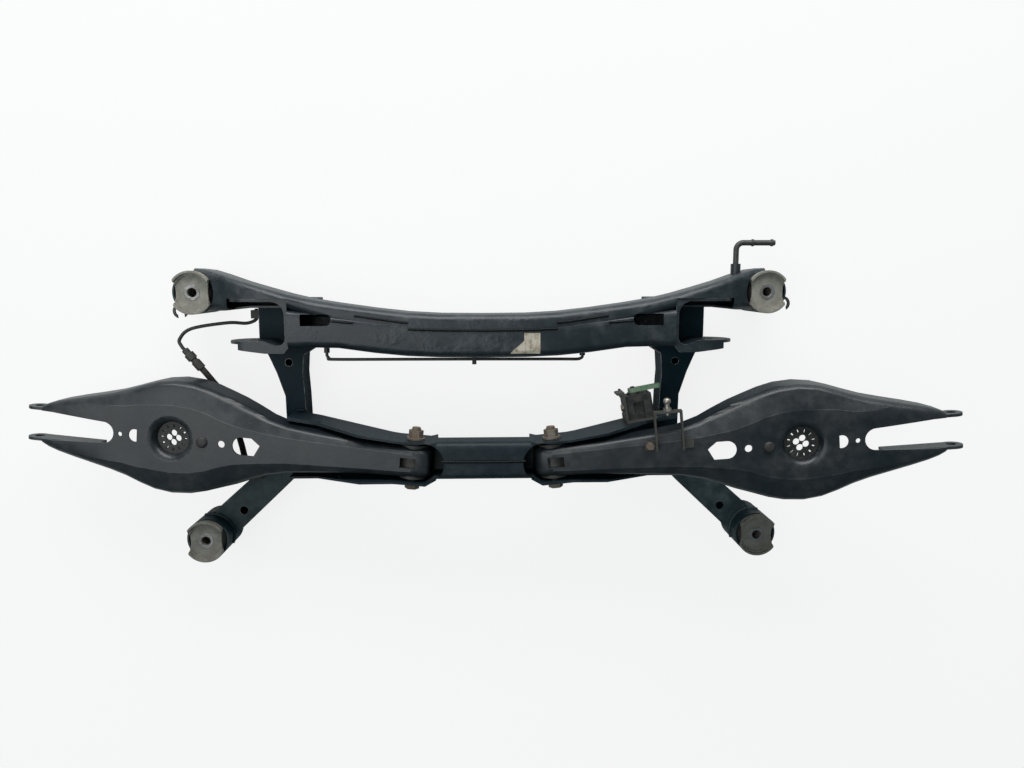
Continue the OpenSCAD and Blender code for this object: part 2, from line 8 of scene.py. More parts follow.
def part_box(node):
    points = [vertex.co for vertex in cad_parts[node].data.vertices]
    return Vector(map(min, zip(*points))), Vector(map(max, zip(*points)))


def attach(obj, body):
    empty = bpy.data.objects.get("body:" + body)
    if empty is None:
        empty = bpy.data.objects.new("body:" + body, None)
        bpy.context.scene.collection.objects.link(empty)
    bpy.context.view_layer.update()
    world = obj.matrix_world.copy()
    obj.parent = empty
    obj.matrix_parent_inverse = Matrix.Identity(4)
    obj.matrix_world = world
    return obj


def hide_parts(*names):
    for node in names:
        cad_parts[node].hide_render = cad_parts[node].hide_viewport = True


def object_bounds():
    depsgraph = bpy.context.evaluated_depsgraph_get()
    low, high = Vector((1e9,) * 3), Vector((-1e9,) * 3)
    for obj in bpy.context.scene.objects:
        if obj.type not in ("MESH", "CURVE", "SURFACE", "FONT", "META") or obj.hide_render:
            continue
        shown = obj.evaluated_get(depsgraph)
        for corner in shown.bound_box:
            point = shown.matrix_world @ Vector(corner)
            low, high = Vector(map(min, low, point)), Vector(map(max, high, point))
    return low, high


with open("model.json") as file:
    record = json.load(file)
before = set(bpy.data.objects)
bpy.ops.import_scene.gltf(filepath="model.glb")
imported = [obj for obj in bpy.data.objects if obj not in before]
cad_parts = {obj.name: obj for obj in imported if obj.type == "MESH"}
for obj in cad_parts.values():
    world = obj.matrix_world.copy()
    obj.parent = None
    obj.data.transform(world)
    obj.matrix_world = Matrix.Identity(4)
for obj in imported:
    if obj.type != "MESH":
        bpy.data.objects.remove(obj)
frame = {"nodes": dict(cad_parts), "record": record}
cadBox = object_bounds()  # the solids' own box, under which the floor is laid
bpy.ops.object.select_all(action="DESELECT")
nodes = frame["nodes"]
record = frame["record"]
bodyOf = {name: body for body, names in record["behaviour"]["bodies"].items() for name in names}
scene = bpy.context.scene
scene.view_settings.view_transform = "Standard"
mm = 0.001
sides = {"left": -1, "right": 1}  # with the sign of X there
corners = ("front_left", "front_right", "rear_left", "rear_right")
print("frame loaded with", len(nodes), "nodes")


# Camera at the photograph's place: it looks down on the road side, vehicle front up
photoCamera = {
    "place": (4.6, 201.2, 1176.3),  # mm
    "turn": (-7.92, -1.88, -0.31),  # degrees, pitch yaw roll
    "focalPixels": 769,
    "imageWidth": 1024,
    "sensorWidth": 36,
    "clipStart": 0.01,
}


def makeCamera(shot):
    bpy.ops.object.camera_add(location=[v * mm for v in shot["place"]])
    camera = bpy.context.object
    camera.name = "photoCamera"
    camera.rotation_mode = "ZYX"
    camera.rotation_euler = [math.radians(a) for a in shot["turn"]]
    camera.data.sensor_width = shot["sensorWidth"]
    camera.data.lens = shot["sensorWidth"] * shot["focalPixels"] / shot["imageWidth"]
    camera.data.clip_start = shot["clipStart"]
    scene.camera = camera


makeCamera(photoCamera)
print("camera set")


# Shader maths: a socket that takes plain arithmetic, and the finish that holds its nodes
class Tone:
    def __init__(self, finish, socket):
        self.finish = finish
        self.socket = socket

    def maths(self, operation, first, second):
        return self.finish.add("ShaderNodeMath", {"operation": operation}, {0: first, 1: second})

    def __add__(self, other):
        return self.maths("ADD", self, other)

    def __radd__(self, other):
        return self.maths("ADD", other, self)

    def __sub__(self, other):
        return self.maths("SUBTRACT", self, other)

    def __rsub__(self, other):
        return self.maths("SUBTRACT", other, self)

    def __mul__(self, other):
        return self.maths("MULTIPLY", self, other)

    def __rmul__(self, other):
        return self.maths("MULTIPLY", other, self)

    def between(self, low, high):  # 0 below low, 1 above high, smooth in between
        limits = {"Value": self, "From Min": low, "From Max": high}
        return self.finish.add("ShaderNodeMapRange", {"interpolation_type": "SMOOTHSTEP"}, limits)


class Finish:
    def __init__(self, name):
        self.material = bpy.data.materials.new(name)
        self.material.use_nodes = True
        self.tree = self.material.node_tree
        self.tree.nodes.clear()
        self.place = self.add("ShaderNodeTexCoord", {}, {}, "Object")
        self.facing = self.add("ShaderNodeTexCoord", {}, {}, "Normal")

    def add(self, kind, settings, sockets, out=0):
        node = self.tree.nodes.new(kind)
        for key, value in settings.items():
            setattr(node, key, value)
        for key, value in sockets.items():
            if isinstance(value, Tone):
                self.tree.links.new(value.socket, node.inputs[key])
            else:
                node.inputs[key].default_value = value
        return Tone(self, node.outputs[out])

    def noise(self, size, detail=3, rough=0.55, stretch=(1, 1, 1)):  # size of one patch in mm
        where = self.add("ShaderNodeMapping", {}, {"Vector": self.place, "Scale": stretch})
        grain = {"Vector": where, "Scale": 1 / (size * mm), "Detail": detail, "Roughness": rough}
        return self.add("ShaderNodeTexNoise", {}, grain)

    def axis(self, vector, name):
        return self.add("ShaderNodeSeparateXYZ", {}, {0: vector}, name)

    def blend(self, amount, first, second):
        colours = {0: amount, 6: asColour(first), 7: asColour(second)}  # the node's colour sockets
        return self.add("ShaderNodeMix", {"data_type": "RGBA"}, colours, 2)

    def bump(self, height, depth):  # depth in mm
        return self.add("ShaderNodeBump", {}, {"Height": height, "Distance": depth * mm, "Strength": 1.0})

    def show(self, shader):
        end = self.tree.nodes.new("ShaderNodeOutputMaterial")
        self.tree.links.new(shader.socket, end.inputs["Surface"])
        return self.material

    def close(self, colour, rough, metal, relief, fixed=()):
        parts = {"Base Color": asColour(colour), "Roughness": rough, "Metallic": metal, "Normal": relief}
        parts.update(fixed)
        return self.show(self.add("ShaderNodeBsdfPrincipled", {}, parts))


def asColour(value):
    return value if isinstance(value, Tone) else (*value, 1)


# Dipped black paint on pressed steel, with road dust, rust specks and lumps; the ridge paint also carries a
# painted highlight and the member paint painted shade
armPaint = {
    "name": "armPaint", "coat": (0.007, 0.011, 0.015), "dust": (0.115, 0.113, 0.112), "dusty": 0.36,
    "rust": (0.075, 0.040, 0.022), "rusty": 0.8, "gloss": 0.33, "lumps": 0.12, "sheen": 0.55, "front": 0.05,
}
beamPaint = {
    "name": "beamPaint", "coat": (0.008, 0.014, 0.019), "dust": (0.115, 0.124, 0.130), "dusty": 0.36,
    "rust": (0.085, 0.050, 0.030), "rusty": 0.5, "gloss": 0.34, "lumps": 1.20, "sheen": 0.55, "front": 0.55,
}
rearPaint = {
    "name": "rearPaint", "coat": (0.005, 0.012, 0.017), "dust": (0.075, 0.090, 0.098), "dusty": 0.24,
    "rust": (0.070, 0.044, 0.027), "rusty": 0.5, "gloss": 0.42, "lumps": 0.25, "sheen": 0.26, "front": 0.20,
}
# Lighter, dustier paint for the rounded crease of the arms: dust, and a painted highlight along the crease
ridgeDustAndHighlight = {
    "name": "ridgeDustAndHighlight", "coat": (0.014, 0.018, 0.021), "dust": (0.160, 0.160, 0.160), "dusty": 0.85,
    "rust": (0.085, 0.050, 0.030), "rusty": 0.9, "gloss": 0.30, "lumps": 0.12, "sheen": 0.55, "front": 0.35,
}
seamPaint = {
    "name": "seamPaint", "coat": (0.0015, 0.0025, 0.0035), "dust": (0.030, 0.034, 0.036), "dusty": 0.12,
    "rust": (0.040, 0.026, 0.017), "rusty": 0.4, "gloss": 0.50, "lumps": 0.30, "sheen": 0.25, "front": 0.10,
}
legPaint = {
    "name": "legPaint", "coat": (0.0050, 0.0150, 0.0200), "dust": (0.100, 0.135, 0.135), "dusty": 0.75,
    "rust": (0.060, 0.038, 0.024), "rusty": 0.6, "gloss": 0.44, "lumps": 0.25, "sheen": 0.28, "front": 0.10,
}
# A darker, bluer copy of the black paint for the side members, their welds and closing sheets: painted
# shade, as they lie under the front beam
memberPaintShaded = {
    "name": "memberPaintShaded", "coat": (0.0025, 0.0150, 0.0240), "dust": (0.035, 0.055, 0.062), "dusty": 0.20,
    "rust": (0.060, 0.038, 0.024), "rusty": 0.6, "gloss": 0.46, "lumps": 0.25, "sheen": 0.15, "front": 0.10,
}
paintGrain = {  # mm
    "patch": 70, "cloud": 16, "grain": 2.6, "peel": 0.9, "chip": 5, "chipped": 38, "lump": 9, "relief": 0.9,
}


def paintedSteel(look):
    f = Finish(look["name"])
    up = f.axis(f.facing, "Z")
    front = f.axis(f.facing, "Y")
    patch = f.noise(paintGrain["patch"], 4, 0.62)
    cloud = f.noise(paintGrain["cloud"], 5, 0.65)
    grain = f.noise(paintGrain["grain"], 3, 0.6)
    peel = f.noise(paintGrain["peel"], 2, 0.5)
    lump = f.noise(paintGrain["lump"], 3, 0.55)
    lying = (up * 0.75 + front * look["front"]).between(0.05, 1.0)  # on the road side and the front
    dust = lying * patch.between(0.30, 0.66) * (0.45 + 0.55 * cloud.between(0.35, 0.65)) * look["dusty"]
    film = dust + 0.05 * grain
    shoulder = front.between(0.15, 0.5) * up.between(0.2, 0.6)
    chip = f.noise(paintGrain["chip"], 6, 0.72).between(0.60, 0.68)
    chipped = f.noise(paintGrain["chipped"], 3, 0.6).between(0.50, 0.66)
    rust = chip * chipped * (0.25 + 0.75 * shoulder) * look["rusty"]
    tint = f.blend(cloud.between(0.3, 0.7), look["coat"], [c * 1.45 for c in look["coat"]])
    colour = f.blend(rust, f.blend(film, tint, look["dust"]), look["rust"])
    rough = look["gloss"] + 0.30 * film + 0.25 * rust + 0.14 * (cloud - 0.5)
    uneven = 0.2 + 0.8 * patch.between(0.46, 0.62)
    height = look["lumps"] * uneven * lump + 0.10 * grain + 0.03 * peel + 0.12 * rust
    relief = f.bump(height, paintGrain["relief"])
    return f.close(colour, rough, 0.0, relief, {"Specular IOR Level": look["sheen"]})


# Edges where the paint has worn through to grey metal; elsewhere the edge coat is lighter than the paint
# beside it, a painted highlight along every broken edge
wornAndLitEdgeLook = {
    "coat": (0.020, 0.025, 0.030), "bare": (0.33, 0.325, 0.31), "rust": (0.085, 0.050, 0.030),
    "break": 9, "stain": 22, "pit": 1.5, "relief": 0.12,  # mm
}


def wornAndLitEdge(look):
    f = Finish("wornAndLitEdge")
    broken = f.noise(look["break"], 5, 0.7).between(0.40, 0.54)
    browned = f.noise(look["stain"], 4, 0.6).between(0.48, 0.62) * 0.6
    metal = f.blend(browned, look["bare"], look["rust"])
    colour = f.blend(broken * 0.85, look["coat"], metal)
    rough = 0.36 + 0.16 * broken
    relief = f.bump(f.noise(look["pit"], 3, 0.6), look["relief"])
    return f.close(colour, rough, broken * 0.45, relief)


# Bare and plated metal: stop plates, cores, fasteners, brackets, stud
frontPlate = {
    "name": "frontPlate", "base": (0.34, 0.33, 0.285), "dirt": (0.105, 0.092, 0.070), "foul": 0.50,
    "metal": 0.15, "gloss": 0.58, "pit": 0.16, "brush": 0.15,
}
rearPlate = {
    "name": "rearPlate", "base": (0.235, 0.228, 0.198), "dirt": (0.080, 0.068, 0.054), "foul": 0.55,
    "metal": 0.15, "gloss": 0.60, "pit": 0.20, "brush": 0.15,
}
boreSteel = {
    "name": "boreSteel", "base": (0.52, 0.51, 0.49), "dirt": (0.13, 0.10, 0.07), "foul": 0.45,
    "metal": 0.9, "gloss": 0.34, "pit": 0.12, "brush": 0.6,
}
rustyZinc = {
    "name": "rustyZinc", "base": (0.27, 0.25, 0.21), "dirt": (0.125, 0.062, 0.028), "foul": 0.80,
    "metal": 0.5, "gloss": 0.52, "pit": 0.30, "brush": 0.6,
}
dullBracket = {
    "name": "dullBracket", "base": (0.085, 0.088, 0.082), "dirt": (0.050, 0.040, 0.028), "foul": 0.60,
    "metal": 0.35, "gloss": 0.48, "pit": 0.18, "brush": 0.6,
}
coreSteel = {
    "name": "coreSteel", "base": (0.36, 0.355, 0.36), "dirt": (0.085, 0.075, 0.062), "foul": 0.85,
    "metal": 0.6, "gloss": 0.36, "pit": 0.35, "brush": 0.6,
}
studSteel = {
    "name": "studSteel", "base": (0.48, 0.45, 0.40), "dirt": (0.16, 0.11, 0.07), "foul": 0.35,
    "metal": 0.85, "gloss": 0.30, "pit": 0.10, "brush": 0.4,
}
pipePaint = {
    "name": "pipePaint", "base": (0.050, 0.053, 0.054), "dirt": (0.120, 0.105, 0.085), "foul": 0.40,
    "metal": 0.25, "gloss": 0.42, "pit": 0.12, "brush": 0.4,
}
metalGrain = {  # mm, and how the scratches are stretched
    "patch": 14, "speck": 2.2, "scratch": 3.0, "along": (0.15, 1.0, 1.0),
}


def dirtyMetal(look):
    f = Finish(look["name"])
    patch = f.noise(metalGrain["patch"], 5, 0.65)
    speck = f.noise(metalGrain["speck"], 5, 0.7)
    scratch = f.noise(metalGrain["scratch"], 3, 0.6, metalGrain["along"])
    foul = (patch.between(0.34, 0.62) * 0.75 + speck.between(0.55, 0.70) * 0.45) * look["foul"]
    dull = [c * 0.72 for c in look["base"]]
    base = f.blend(scratch.between(0.35, 0.7) * look["brush"], look["base"], dull)
    colour = f.blend(foul, base, look["dirt"])
    rough = look["gloss"] + 0.22 * foul + 0.10 * (speck - 0.5)
    metal = look["metal"] * (1 - 0.8 * foul)
    return f.close(colour, rough, metal, f.bump(speck + 0.4 * patch, look["pit"]))


# Rubber and plastics
bushRubber = {
    "name": "bushRubber", "base": (0.010, 0.010, 0.011), "gloss": 0.66,
    "dust": (0.075, 0.068, 0.058), "dusty": 0.40,
}
hoseRubber = {
    "name": "hoseRubber", "base": (0.015, 0.015, 0.014), "gloss": 0.60,
    "dust": (0.095, 0.088, 0.074), "dusty": 0.45,
}
blackPlastic = {
    "name": "blackPlastic", "base": (0.013, 0.014, 0.015), "gloss": 0.46,
    "dust": (0.105, 0.098, 0.086), "dusty": 0.30,
}
greenPlastic = {
    "name": "greenPlastic", "base": (0.110, 0.230, 0.125), "gloss": 0.48,
    "dust": (0.29, 0.33, 0.27), "dusty": 0.50,
}
mouldGrain = {"patch": 11, "grain": 0.8, "relief": 0.10}  # mm


def dustyMould(look):
    f = Finish(look["name"])
    up = f.axis(f.facing, "Z")
    patch = f.noise(mouldGrain["patch"], 5, 0.65)
    grain = f.noise(mouldGrain["grain"], 3, 0.6)
    dust = (0.35 + 0.65 * up.between(-0.1, 0.9)) * patch.between(0.32, 0.64) * look["dusty"]
    colour = f.blend(dust + 0.06 * grain, look["base"], look["dust"])
    rough = look["gloss"] + 0.25 * dust + 0.08 * (grain - 0.5)
    return f.close(colour, rough, 0.0, f.bump(grain + 0.6 * patch, mouldGrain["relief"]))


paintLooks = (armPaint, beamPaint, rearPaint, ridgeDustAndHighlight, seamPaint, legPaint, memberPaintShaded)
metalLooks = (frontPlate, rearPlate, boreSteel, rustyZinc, dullBracket, coreSteel, studSteel, pipePaint)
mouldLooks = (bushRubber, hoseRubber, blackPlastic, greenPlastic)
finishes = {look["name"]: paintedSteel(look) for look in paintLooks}
finishes.update({look["name"]: dirtyMetal(look) for look in metalLooks})
finishes.update({look["name"]: dustyMould(look) for look in mouldLooks})
finishes["wornAndLitEdge"] = wornAndLitEdge(wornAndLitEdgeLook)
print("finishes made:", len(finishes))


# Working on one object at a time, as by hand
def takeUp(piece):
    bpy.ops.object.select_all(action="DESELECT")
    piece.select_set(True)
    bpy.context.view_layer.objects.active = piece


def newPiece(name, data):
    piece = bpy.data.objects.new(name, data)
    scene.collection.objects.link(piece)
    return piece


def modify(piece, kind, settings):
    change = piece.modifiers.new(kind.lower(), kind)
    for key, value in settings.items():
        setattr(change, key, value)
    takeUp(piece)
    bpy.ops.object.modifier_apply(modifier=change.name)


def faceOutwards(piece):
    takeUp(piece)
    bpy.ops.object.mode_set(mode="EDIT")
    bpy.ops.mesh.select_all(action="SELECT")
    bpy.ops.mesh.normals_make_consistent(inside=False)
    bpy.ops.object.mode_set(mode="OBJECT")


def smoothShade(piece, angle):
    takeUp(piece)
    bpy.ops.object.shade_smooth_by_angle(angle=math.radians(angle))


def paint(piece, coats):
    piece.data.materials.clear()
    for name in coats:
        piece.data.materials.append(finishes[name])


def settle(piece, body, coats):
    paint(piece, coats)
    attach(piece, body)


latheSteps = 72


def turned(name, profile, place):  # closed profile of radius and height in mm, turned on its axis
    mesh = bpy.data.meshes.new(name)
    count = len(profile)
    mesh.from_pydata([(r, 0, h) for r, h in profile], [(i, (i + 1) % count) for i in range(count)], [])
    piece = newPiece(name, mesh)
    modify(piece, "SCREW", {
        "steps": latheSteps, "render_steps": latheSteps,
        "use_merge_vertices": True, "merge_threshold": 0.01,
    })
    piece.data.transform(place)
    faceOutwards(piece)
    return piece


# Spring arms: places in mm along an arm, across it and up from its pivot bolt
armPlan = {
    "pivot": (98.5, -54, 112), "tilt": 5.5, "rest": {"left": -4, "right": 7}, "seat": (338, 0, 25),
    "padTurn": {"left": 45, "right": 27},
    "level": 0.01,  # radians within which a face still counts as the flat web
    "slope": (6, 60),  # degrees of the shoulder beside the web
    "narrow": [  # mm along the arm, and the share that goes off the web's width there
        (30, 0.0), (90, 0.16), (180, 0.28), (360, 0.30), (400, 0.18), (440, 0.0),
    ],
    "shoulder": 14, "droop": 2.0,  # height above which the shoulder falls, and how far at most
    "crease": {"width": 3.6, "segments": 3},
    "dish": [(0, 8), (33, 8), (33, 0), (28, -1.2), (24.6, -5), (23, -10), (23, -16), (0, -16)],
}


def armFrame(side):
    swing = Matrix.Rotation(math.radians(-armPlan["rest"][side]), 4, "Y")
    turn = Matrix.Rotation(math.radians(armPlan["tilt"]), 4, "Z")
    right = Matrix.Translation(Vector(armPlan["pivot"]) * mm) @ turn @ swing @ Matrix.Scale(mm, 4)
    return Matrix.Scale(sides[side], 4, (1, 0, 0)) @ right


def shareAt(table, along):
    if along <= table[0][0]:
        return table[0][1]
    for (a, low), (b, high) in zip(table, table[1:]):
        if along <= b:
            return low + (high - low) * (along - a) / (b - a)
    return table[-1][1]


def webNormal(mesh):  # the web is an arm's largest face
    return max(mesh.polygons, key=lambda face: face.area).normal.copy()


def onShoulder(turn):
    low, high = armPlan["slope"]
    return math.radians(low) < turn < math.radians(high)


def narrowWeb(piece, side):  # the flat web ends short of the shoulder, which falls away from it
    mesh = piece.data
    web = webNormal(mesh)
    webVerts, shoulderVerts = set(), set()
    for face in mesh.polygons:
        turn = face.normal.angle(web)
        turn = min(turn, math.pi - turn)
        if turn < armPlan["level"]:
            webVerts.update(face.vertices)
        elif onShoulder(turn):
            shoulderVerts.update(face.vertices)
    place = armFrame(side)
    back = place.inverted()
    most = max(share for along, share in armPlan["narrow"])
    for vert in mesh.vertices:
        if vert.index in shoulderVerts:
            spot = back @ vert.co
            share = shareAt(armPlan["narrow"], spot.x)
            if vert.index in webVerts:
                spot.y *= 1 - share
            elif spot.z > armPlan["shoulder"]:
                spot.z -= armPlan["droop"] * share / most
            vert.co = place @ spot


def creaseWeb(piece):  # rounds the line where the flat web turns into its shoulder
    mesh = piece.data
    web = webNormal(mesh)
    beside = {}
    for face in mesh.polygons:
        for key in face.edge_keys:
            beside.setdefault(key, []).append(face.normal.angle(web))
    weight = mesh.attributes.new("bevel_weight_edge", "FLOAT", "EDGE")
    for edge in mesh.edges:
        turns = sorted(beside[tuple(sorted(edge.vertices))])
        creased = len(turns) == 2 and turns[0] < armPlan["level"] and onShoulder(turns[1])
        weight.data[edge.index].value = 1.0 if creased else 0.0
    # the rounding takes the lighter ridge paint: a painted highlight along the crease, with dust
    modify(piece, "BEVEL", {
        "width": armPlan["crease"]["width"] * mm, "segments": armPlan["crease"]["segments"],
        "limit_method": "WEIGHT", "material": armCoats.index("ridgeDustAndHighlight"),
    })


def openDish(piece, side):  # the rounded mouth of the spring seat's collar
    cutter = turned("seatCutter", armPlan["dish"], armFrame(side) @ Matrix.Translation(armPlan["seat"]))
    modify(piece, "BOOLEAN", {
        "operation": "DIFFERENCE", "solver": "EXACT", "use_hole_tolerant": True, "object": cutter,
    })
    bpy.data.objects.remove(cutter)


# Skins: each solid's surface with its cut edges broken, so that light catches them
armCoats = ["armPaint", "wornAndLitEdge", "ridgeDustAndHighlight"]
skinPlan = {  # edge in mm, angle and smooth in degrees
    "sheet": {"edge": 0.9, "angle": 34, "smooth": 40, "wornAndLit": True},
    "bracket": {"edge": 1.5, "angle": 34, "smooth": 40, "wornAndLit": True},
    "arm": {"edge": 0.9, "angle": 42, "smooth": 46, "wornAndLit": True},
    "small": {"edge": 0.35, "angle": 40, "smooth": 40, "wornAndLit": False},
    "turned": {"edge": 0.5, "angle": 40, "smooth": 40, "wornAndLit": False},
}
skinWork = {"merge": 0.01, "flat": 0.6, "segments": 2}  # mm, degrees, and steps across a broken edge
sidedSkins = {
    "side_member": ("sheet", "memberPaintShaded"),
    "rear_leg": ("sheet", "legPaint"),
    "link_bracket": ("bracket", "beamPaint"),
    "arm": ("arm", "armPaint"),
    "arm_sleeve": ("turned", "dullBracket"),
    "arm_rubber": ("turned", "bushRubber"),
    "arm_core": ("turned", "boreSteel"),
    "pivot_bolt": ("small", "rustyZinc"),
    "pivot_nut": ("small", "rustyZinc"),
    "nut_washer": ("small", "rustyZinc"),
    "head_washer": ("small", "rustyZinc"),
    "spring_pad": ("small", "blackPlastic"),
    "plug": ("small", "blackPlastic"),
    "hook": ("small", "dullBracket"),
}
mountSkins = {
    "sleeve": ("turned", "legPaint"),
    "rubber": ("turned", "bushRubber"),
    "core": ("turned", "boreSteel"),
}
singleSkins = {
    "sensor_bracket": ("small", "dullBracket"),
    "sensor_body": ("small", "blackPlastic"),
    "sensor_lever": ("small", "greenPlastic"),
    "sensor_screw": ("small", "rustyZinc"),
    "rod_strap": ("small", "dullBracket"),
    "strap_screw": ("small", "rustyZinc"),
    "ball_stud": ("small", "studSteel"),
    "rail_clip": ("small", "blackPlastic"),
    "vent_pipe": ("turned", "pipePaint"),
    "line_clip": ("small", "blackPlastic"),
    "line_union": ("turned", "dullBracket"),
}
skinTable = {"front_crossmember": ("sheet", "beamPaint"), "rear_crossmember": ("sheet", "rearPaint")}
for side in sides:
    skinTable.update({side + "_" + name: look for name, look in sidedSkins.items()})
for corner in corners:
    skinTable.update({corner + "_" + name: look for name, look in mountSkins.items()})
    skinTable[corner + "_stop"] = ("small", "frontPlate" if corner.startswith("front") else "rearPlate")
skinTable.update(singleSkins)


def skinOver(name, kind, finish):
    plan = skinPlan[kind]
    piece = newPiece(name + "_skin", nodes[name].data.copy())
    takeUp(piece)
    bpy.ops.mesh.customdata_custom_splitnormals_clear()
    bpy.ops.object.mode_set(mode="EDIT")
    bpy.ops.mesh.select_all(action="SELECT")
    bpy.ops.mesh.remove_doubles(threshold=skinWork["merge"] * mm)
    bpy.ops.mesh.dissolve_limited(angle_limit=math.radians(skinWork["flat"]))
    bpy.ops.object.mode_set(mode="OBJECT")
    for face in piece.data.polygons:
        face.material_index = 0
    coats = [finish, "wornAndLitEdge"] if plan["wornAndLit"] else [finish]
    paint(piece, armCoats if kind == "arm" else coats)
    if kind == "arm":
        side = name.split("_")[0]
        narrowWeb(piece, side)
        creaseWeb(piece)
        openDish(piece, side)
    # the broken edges take the worn-edge paint: worn bare spots, and a painted highlight where the lighter
    # edge coat shows
    modify(piece, "BEVEL", {
        "width": plan["edge"] * mm, "segments": skinWork["segments"], "limit_method": "ANGLE",
        "angle_limit": math.radians(plan["angle"]), "use_clamp_overlap": True, "miter_outer": "MITER_ARC",
        "material": 1 if plan["wornAndLit"] else 0,
    })
    modify(piece, "TRIANGULATE", {"min_vertices": 5})
    smoothShade(piece, plan["smooth"])
    modify(piece, "WEIGHTED_NORMAL", {"keep_sharp": True})
    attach(piece, bodyOf[name])
    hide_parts(name)
    return piece


def turnPad(pad, side):  # the four holes of a spring pad lie at their own angle on each side
    seat = armFrame(side) @ Matrix.Translation(armPlan["seat"])
    turn = Matrix.Rotation(math.radians(armPlan["padTurn"][side]), 4, "Z")
    pad.data.transform(seat @ turn @ seat.inverted())


skins = {name: skinOver(name, kind, finish) for name, (kind, finish) in skinTable.items()}
for side in sides:
    turnPad(skins[side + "_spring_pad"], side)
print("skins made:", len(skins))


# Bright ring on each stop plate, as the worn end of the core around the bolt's bore
coreEnd = {"inside": 6.7, "outside": 11.0, "height": 82.02, "rise": 0.5, "break": 0.3, "smooth": 30}


def makeCoreEnds(plan):
    inside, outside, rise, edge = plan["inside"], plan["outside"], plan["rise"], plan["break"]
    profile = [
        (inside, 0), (outside, 0), (outside, rise - edge),
        (outside - edge, rise), (inside + edge, rise), (inside, rise - edge),
    ]
    for corner in corners:
        low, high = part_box(corner + "_core")
        centre = Vector(((low[0] + high[0]) / 2, (low[1] + high[1]) / 2, plan["height"] * mm))
        ring = turned(corner + "_core_end", profile, Matrix.Translation(centre) @ Matrix.Scale(mm, 4))
        smoothShade(ring, plan["smooth"])
        settle(ring, "frame", ["coreSteel"])


makeCoreEnds(coreEnd)
print("core ends made")


# Thin pipe, hose and cable rail, on the routes that the solids have, in mm
unionPlan = {
    "from": Vector((-431, 98, 55)), "to": Vector((-409, 70, 52)),
    "grip": 3, "pipeLead": 6, "hoseLead": 7,  # how far the lines reach in, and run straight outside
}
unionRun = (unionPlan["to"] - unionPlan["from"]).normalized()
pipeRoute = [
    (-331, 156, 38), (-331, 148, 38), (-332, 140, 38.5), (-345, 135, 42), (-370, 136, 48),
    (-420, 128, 54), (-437, 113, 55.5),
    unionPlan["from"] - unionPlan["pipeLead"] * unionRun,
    unionPlan["from"] + unionPlan["grip"] * unionRun,
]
hoseRoute = [
    unionPlan["to"] - unionPlan["grip"] * unionRun,
    unionPlan["to"] + unionPlan["hoseLead"] * unionRun,
    (-396, 50, 46), (-386, 32, 40), (-370, -10, 40), (-360, -45, 44), (-350, -68, 54.5), (-330, -92, 54.5),
]
railRoute = [
    (-222, 95, 80), (-222, 91, 80), (-219, 87, 80), (-212, 85.5, 80), (-120, 85.2, 80), (0, 85, 80),
    (110, 84.6, 80), (134, 84.5, 80), (140, 86, 80), (142, 88, 80), (142, 90, 80),
]
linePlan = {
    "pipe": {"radius": 2.5, "steps": 8},
    "rail": {"radius": 2.2, "steps": 6},
    "hose": {"radius": 4.5, "steps": 8},
    "ferrule": {"radius": 5.0, "length": 16, "past": 1.0, "edge": 0.7},
}


def smoothRoute(points, steps):  # a curve through all the points, with so many steps from each to the next
    p = [Vector(q) * mm for q in points]
    line = []
    for i in range(len(p) - 1):
        a, b, c, d = p[max(i - 1, 0)], p[i], p[i + 1], p[min(i + 2, len(p) - 1)]
        for k in range(steps):
            t = k / steps
            line.append(0.5 * (2 * b + (c - a) * t + (2 * a - 5 * b + 4 * c - d) * t ** 2
                               + (3 * b - a - 3 * c + d) * t ** 3))
    return line + [p[-1]]


def lineLength(line):
    return sum((b - a).length for a, b in zip(line, line[1:]))


def tubeAlong(name, line, radius, fineness=4):
    curve = bpy.data.curves.new(name, "CURVE")
    curve.dimensions = "3D"
    run = curve.splines.new("POLY")
    run.points.add(len(line) - 1)
    for point, place in zip(run.points, line):
        point.co = (*place, 1)
    run.use_smooth = True
    curve.bevel_depth = radius * mm
    curve.bevel_resolution = fineness
    curve.use_fill_caps = True
    return newPiece(name, curve)


def asMesh(piece, smooth=40):
    takeUp(piece)
    bpy.ops.object.convert(target="MESH")
    piece = bpy.context.object
    smoothShade(piece, smooth)
    return piece


def layTube(name, node, route, plan):
    tube = asMesh(tubeAlong(name, smoothRoute(route, plan["steps"]), plan["radius"]))
    settle(tube, "frame", ["pipePaint"])
    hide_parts(node)


def makeFerrule(line, plan, hoseRadius):  # sits on the hose's far end, level with it below
    away = (line[-1] - line[-3]).normalized()
    lift = Vector((0, 0, (plan["radius"] - hoseRadius) * mm))
    ends = [line[-1] - away * plan["length"] * mm + lift, line[-1] + away * plan["past"] * mm + lift]
    ferrule = asMesh(tubeAlong("hose_ferrule", ends, plan["radius"]))
    modify(ferrule, "BEVEL", {"width": plan["edge"] * mm, "segments": 2, "limit_method": "ANGLE"})
    settle(ferrule, "frame", ["dullBracket"])
    return ferrule


def makeHose(plan):
    radius = plan["hose"]["radius"]
    line = smoothRoute(hoseRoute, plan["hose"]["steps"])
    hose = tubeAlong("rubber_hose", line, radius)
    settle(hose, "frame", ["hoseRubber"])
    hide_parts("brake_hose")
    ferrule = makeFerrule(line, plan["ferrule"], radius)
    lineLength(line)
    print("hose length", round(lineLength(line), 4), "m")


layTube("thin_pipe", "brake_line", pipeRoute, linePlan["pipe"])
layTube("cable_rail_bar", "cable_rail", railRoute, linePlan["rail"])
makeHose(linePlan)
print("pipe, rail and hose laid")


